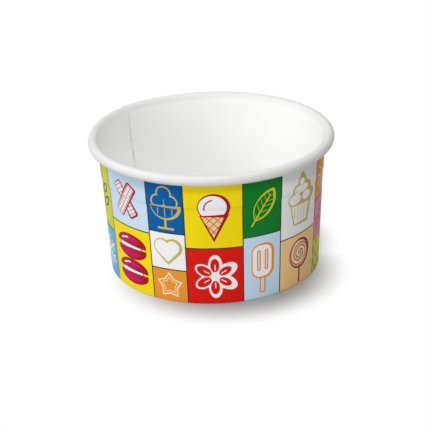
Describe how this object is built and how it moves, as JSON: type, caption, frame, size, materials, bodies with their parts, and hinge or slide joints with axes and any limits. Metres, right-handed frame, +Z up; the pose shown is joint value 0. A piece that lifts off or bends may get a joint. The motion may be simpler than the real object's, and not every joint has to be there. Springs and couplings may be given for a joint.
{
  "type": "paper ice cream cup",
  "caption": "Round tapered paper cup for ice cream, with a printed board wall, rolled white rim, lapped side seam, stacking shoulder and a white bottom disc set in above a folded hem.",
  "frame": {"origin": "centre of the cup's foot, on the surface that it stands on", "axes": "+Z up along the cup's axis; the pictured side faces -Y and the side seam is at the back left"},
  "size_m": [0.087, 0.087, 0.0493],
  "materials": {
    "printed_board": "coated board, colour print outside, white satin inside",
    "white_board": "white coated board, satin"
  },
  "bodies": {
    "root": {"side_wall": "printed_board", "bottom_disc": "white_board"}
  },
  "joints": []
}
